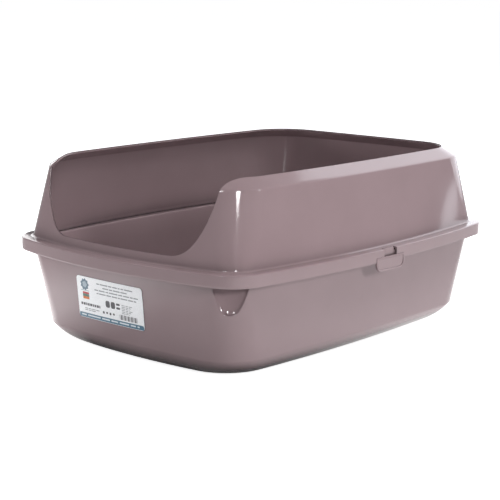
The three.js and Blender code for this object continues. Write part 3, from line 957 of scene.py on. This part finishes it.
def map_range(nodes, links, value, low, high, to_low, to_high):
    node = nodes.new("ShaderNodeMapRange")
    node.inputs["From Min"].default_value = low
    node.inputs["From Max"].default_value = high
    node.inputs["To Min"].default_value = to_low
    node.inputs["To Max"].default_value = to_high
    links.new(value, node.inputs["Value"])
    return node.outputs["Result"]


PLASTIC_DARK = (0.258, 0.186, 0.196, 1)
PLASTIC_LIGHT = (0.286, 0.209, 0.220, 1)
CREASE_SHADE_REACH = 0.02  # how near another surface must be for the painted crease shade, in metres
CREASE_SHADE = 0.45
GRAIN_SHARE = 0.12
BUMP_STRENGTH = 0.3
BUMP_HEIGHT = 0.00006
PLASTIC_IOR = 1.49


def plastic(name, seed):
    """Glossy mauve-grey polypropylene: faint flow in its colour, painted shade darkening its
    creases, an uneven gloss, orange peel and a fine grain."""
    material, nodes, links, shader = new_material(name)
    place = nodes.new("ShaderNodeTexCoord").outputs["Object"]
    shift = nodes.new("ShaderNodeMapping")
    shift.inputs["Location"].default_value = (seed, seed * 0.7, 0)
    links.new(place, shift.inputs["Vector"])
    place = shift.outputs["Vector"]

    flow = noise(nodes, links, place, 9, 3)
    tint = nodes.new("ShaderNodeMix")
    tint.data_type = "RGBA"
    tint.inputs["A"].default_value = PLASTIC_DARK
    tint.inputs["B"].default_value = PLASTIC_LIGHT
    links.new(map_range(nodes, links, flow, 0.3, 0.7, 0, 1), tint.inputs["Factor"])
    # Painted shade: ambient occlusion darkens the base colour in creases, seams, recesses and under
    # the skirt.
    creases = nodes.new("ShaderNodeAmbientOcclusion")
    creases.samples = 8
    creases.inputs["Distance"].default_value = CREASE_SHADE_REACH
    shade = nodes.new("ShaderNodeMix")
    shade.data_type = "RGBA"
    shade.blend_type = "MULTIPLY"
    shade.inputs["Factor"].default_value = 1.0
    painted_crease_shade = map_range(nodes, links, creases.outputs["AO"], 0.35, 0.9, CREASE_SHADE, 1.0)
    links.new(tint.outputs["Result"], shade.inputs["A"])
    links.new(painted_crease_shade, shade.inputs["B"])
    links.new(shade.outputs["Result"], shader.inputs["Base Color"])

    cloud = noise(nodes, links, place, 45, 4, 0.6)
    links.new(map_range(nodes, links, cloud, 0.3, 0.7, 0.06, 0.1), shader.inputs["Roughness"])

    peel = noise(nodes, links, place, 260, 1)
    grain = noise(nodes, links, place, 1500, 2)
    together = nodes.new("ShaderNodeMath")
    together.operation = "MULTIPLY_ADD"
    together.inputs[1].default_value = GRAIN_SHARE
    links.new(grain, together.inputs[0])
    links.new(peel, together.inputs[2])
    bump = nodes.new("ShaderNodeBump")
    bump.inputs["Strength"].default_value = BUMP_STRENGTH
    bump.inputs["Distance"].default_value = BUMP_HEIGHT
    links.new(together.outputs["Value"], bump.inputs["Height"])
    links.new(bump.outputs["Normal"], shader.inputs["Normal"])
    shader.inputs["IOR"].default_value = PLASTIC_IOR
    return material


def film(name, colour):
    """Printed label film: slightly uneven ink and a soft shine."""
    material, nodes, links, shader = new_material(name)
    place = nodes.new("ShaderNodeTexCoord").outputs["Object"]
    speck = noise(nodes, links, place, 900, 2)
    tint = nodes.new("ShaderNodeMix")
    tint.data_type = "RGBA"
    tint.inputs["A"].default_value = (*(0.9 * c for c in colour), 1)
    tint.inputs["B"].default_value = (*colour, 1)
    links.new(map_range(nodes, links, speck, 0.35, 0.65, 0, 1), tint.inputs["Factor"])
    links.new(tint.outputs["Result"], shader.inputs["Base Color"])
    cloud = noise(nodes, links, place, 60, 2)
    links.new(map_range(nodes, links, cloud, 0.3, 0.7, 0.36, 0.46), shader.inputs["Roughness"])
    return material


# ---- studio ----------------------------------------------------------------
CAMERA_PLACE = Vector((1.08645, -1.24882, 0.41799))
CAMERA_YAW = math.radians(41.35)
CAMERA_PITCH = math.radians(11.17)
CAMERA_ROLL = math.radians(0.35)
CAMERA_LENS = 103.29


def make_camera():
    forward = Vector((
        -math.sin(CAMERA_YAW) * math.cos(CAMERA_PITCH),
        math.cos(CAMERA_YAW) * math.cos(CAMERA_PITCH),
        -math.sin(CAMERA_PITCH),
    ))
    level = Vector((math.cos(CAMERA_YAW), math.sin(CAMERA_YAW), 0))
    upright = level.cross(forward)
    right = level * math.cos(CAMERA_ROLL) + upright * math.sin(CAMERA_ROLL)
    up = upright * math.cos(CAMERA_ROLL) - level * math.sin(CAMERA_ROLL)
    data = bpy.data.cameras.new("camera")
    data.lens = CAMERA_LENS
    data.sensor_width = 36
    camera = bpy.data.objects.new("camera", data)
    turned = Matrix((right, up, -forward)).transposed().to_4x4()
    camera.matrix_world = Matrix.Translation(CAMERA_PLACE) @ turned
    bpy.context.scene.collection.objects.link(camera)
    bpy.context.scene.camera = camera


def area_light(name, place, target, size, power, colour, part):
    """A rectangular light that shows only in the gloss or only in the diffuse shading."""
    data = bpy.data.lights.new(name, "AREA")
    data.shape = "RECTANGLE"
    data.size, data.size_y = size
    data.energy = power
    data.color = colour
    light = bpy.data.objects.new(name, data)
    light.location = place
    aim = Vector(target) - Vector(place)
    light.rotation_euler = aim.to_track_quat("-Z", "Y").to_euler()
    light.visible_diffuse = part == "diffuse"
    light.visible_glossy = part == "gloss"
    bpy.context.scene.collection.objects.link(light)


# The floor's glow, which only the object sees, is painted light: a painted pool of light, dimmer on
# the right, with a painted shadow under the object.
FLOOR_GLOW = 2.1
FLOOR_REACH = 12.0
FLOOR_DROP = 0.0003  # below the object's feet, so that the two don't flicker
PAINTED_SHADOW_STRETCH = (1.5, 1, 1)  # the painted shadow under the object is longer than it is wide
PAINTED_SHADOW_CENTRE = (0.05, -0.2, 0)
PAINTED_SHADOW_EDGE = (0.16, 0.36)
PAINTED_POOL_CENTRE = (0.35, 0.3, 0)  # the middle of the painted pool of light on the floor
PAINTED_POOL_EDGE = (0.86, 1.0)
BEYOND_SHARE = 0.05
SIDE_EDGE = (-0.2, 0.25)  # the floor's painted glow, from the brighter left to the dimmer right, along X
RIGHT_SHARE = 0.22


def distance_from(nodes, links, place, centre):
    node = nodes.new("ShaderNodeVectorMath")
    node.operation = "DISTANCE"
    node.inputs[1].default_value = centre
    links.new(place, node.inputs[0])
    return node.outputs["Value"]


def seen_and_unseen(tree, seen, unseen):
    """What the camera sees directly, and what lights the object and shows in its gloss."""
    path = tree.nodes.new("ShaderNodeLightPath")
    both = tree.nodes.new("ShaderNodeMixShader")
    tree.links.new(path.outputs["Is Camera Ray"], both.inputs["Fac"])
    tree.links.new(unseen, both.inputs[1])
    tree.links.new(seen, both.inputs[2])
    return both.outputs["Shader"]


def make_floor():
    """White paper, overexposed as the camera sees it. What it sends to the object is a painted
    glow: a painted shadow under the object, weaker on the right, and fading with distance."""
    material, nodes, links, shader = new_material("floor_paper_and_painted_glow")
    shader.inputs["Base Color"].default_value = (0.6, 0.6, 0.6, 1)
    shader.inputs["Roughness"].default_value = 0.9
    shader.inputs["Specular IOR Level"].default_value = 0.1
    place = nodes.new("ShaderNodeTexCoord").outputs["Object"]
    stretch = nodes.new("ShaderNodeVectorMath")
    stretch.operation = "MULTIPLY"
    stretch.inputs[1].default_value = PAINTED_SHADOW_STRETCH
    links.new(place, stretch.inputs[0])
    # Painted shadow under the object, and a painted pool of light round the lit part of the floor.
    under = distance_from(nodes, links, stretch.outputs["Vector"], PAINTED_SHADOW_CENTRE)
    lit = distance_from(nodes, links, place, PAINTED_POOL_CENTRE)
    away = map_range(nodes, links, under, *PAINTED_SHADOW_EDGE, 0.0, FLOOR_GLOW)
    edge = map_range(nodes, links, lit, *PAINTED_POOL_EDGE, 1.0, BEYOND_SHARE)
    split = nodes.new("ShaderNodeSeparateXYZ")
    links.new(place, split.inputs["Vector"])
    side = map_range(nodes, links, split.outputs["X"], *SIDE_EDGE, 1.0, RIGHT_SHARE)
    patch = nodes.new("ShaderNodeMath")
    patch.operation = "MULTIPLY"
    links.new(edge, patch.inputs[0])
    links.new(side, patch.inputs[1])
    glow = nodes.new("ShaderNodeMath")
    glow.operation = "MULTIPLY"
    links.new(away, glow.inputs[0])
    links.new(patch.outputs["Value"], glow.inputs[1])
    shader.inputs["Emission Color"].default_value = (1, 1, 1, 1)
    links.new(glow.outputs["Value"], shader.inputs["Emission Strength"])
    paper = nodes.new("ShaderNodeBsdfPrincipled")
    paper.inputs["Base Color"].default_value = (0.9, 0.9, 0.9, 1)
    paper.inputs["Roughness"].default_value = 0.9
    paper.inputs["Specular IOR Level"].default_value = 0.0
    paper.inputs["Emission Color"].default_value = (1, 1, 1, 1)
    paper.inputs["Emission Strength"].default_value = 0.85
    result = seen_and_unseen(material.node_tree, paper.outputs["BSDF"], shader.outputs["BSDF"])
    links.new(result, nodes["Material Output"].inputs["Surface"])
    mesh = bpy.data.meshes.new("floor")
    reach = FLOOR_REACH
    corners = [(-reach, -reach, 0), (reach, -reach, 0), (reach, reach, 0), (-reach, reach, 0)]
    mesh.from_pydata(corners, [], [(0, 1, 2, 3)])
    mesh.materials.append(material)
    floor = bpy.data.objects.new("floor", mesh)
    floor.location.z = -FLOOR_DROP
    bpy.context.scene.collection.objects.link(floor)


def make_world():
    """White to the camera, and a dim cool room to the object."""
    world = bpy.data.worlds.new("studio")
    bpy.context.scene.world = world
    world.use_nodes = True
    tree = world.node_tree
    room = tree.nodes["Background"]
    room.inputs["Color"].default_value = (0.93, 0.96, 1, 1)
    room.inputs["Strength"].default_value = 0.18
    backdrop = tree.nodes.new("ShaderNodeBackground")
    backdrop.inputs["Color"].default_value = (1, 1, 1, 1)
    backdrop.inputs["Strength"].default_value = 1.0
    result = seen_and_unseen(tree, backdrop.outputs["Background"], room.outputs["Background"])
    tree.links.new(result, tree.nodes["World Output"].inputs["Surface"])


MIDDLE = (0, 0, 0.1)
WHITE = (1, 1, 1)
COOL = (0.92, 0.95, 1)
# Each light's name, place round the object, size, power, colour, and what it shows in.
LIGHTS = (
    ("backdrop_sheen", (101, 20, 2.6), (4.1, 2.3), 62, COOL, "gloss"),
    ("backdrop_wash", (101, 20, 2.6), (4.1, 2.3), 66, COOL, "diffuse"),
    ("key_right", (-19, 18, 2.0), (0.26, 0.26), 15, WHITE, "diffuse"),
    ("corner_glint", (-38, 23.5, 2.0), (0.2, 0.36), 14, WHITE, "gloss"),
    ("strip_right", (6, 17, 2.0), (0.05, 0.3), 3, WHITE, "gloss"),
    ("side_glint", (-75, 30, 2.2), (0.3, 0.4), 9, WHITE, "gloss"),
    ("top_panel", (20, 68, 2.0), (1.2, 1.2), 30, WHITE, "diffuse"),
    ("left_panel", (-145, 9, 2.2), (1.2, 0.7), 24, WHITE, "diffuse"),
    ("rear_left_strip", (165, 16, 2.4), (1.5, 0.9), 10, WHITE, "gloss"),
)


def around(azimuth, elevation, distance):
    """A place round the object, by compass from +X and height above the floor."""
    turn = math.radians(azimuth)
    rise = math.radians(elevation)
    flat = distance * math.cos(rise)
    return (flat * math.cos(turn), flat * math.sin(turn), MIDDLE[2] + distance * math.sin(rise))


def make_studio():
    for name, place, size, power, colour, part in LIGHTS:
        area_light(name, around(*place), MIDDLE, size, power, colour, part)
    make_world()
    make_floor()
    make_camera()


# ---- assembly --------------------------------------------------------------
def make_object():
    tray_plastic = plastic("tray_polypropylene", 0.0)
    rim_plastic = plastic("rim_polypropylene", 3.1)
    make_tray(tray_plastic)
    for name, sign in (("lug_right", 1), ("lug_left", -1)):
        make_lug(name, sign, tray_plastic)
    make_rim(rim_plastic)
    for name, sign in (("clip_right", 1), ("clip_left", -1)):
        clip = make_clip(name + "_moulding", sign, rim_plastic)
        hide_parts(name)
        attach(clip, name)
    make_label(film("label_white", LABEL_COLOUR))
    make_print()


LABEL_COLOUR = (0.94, 0.95, 0.97)

bpy.context.scene.view_settings.view_transform = "Standard"
make_object()
make_studio()
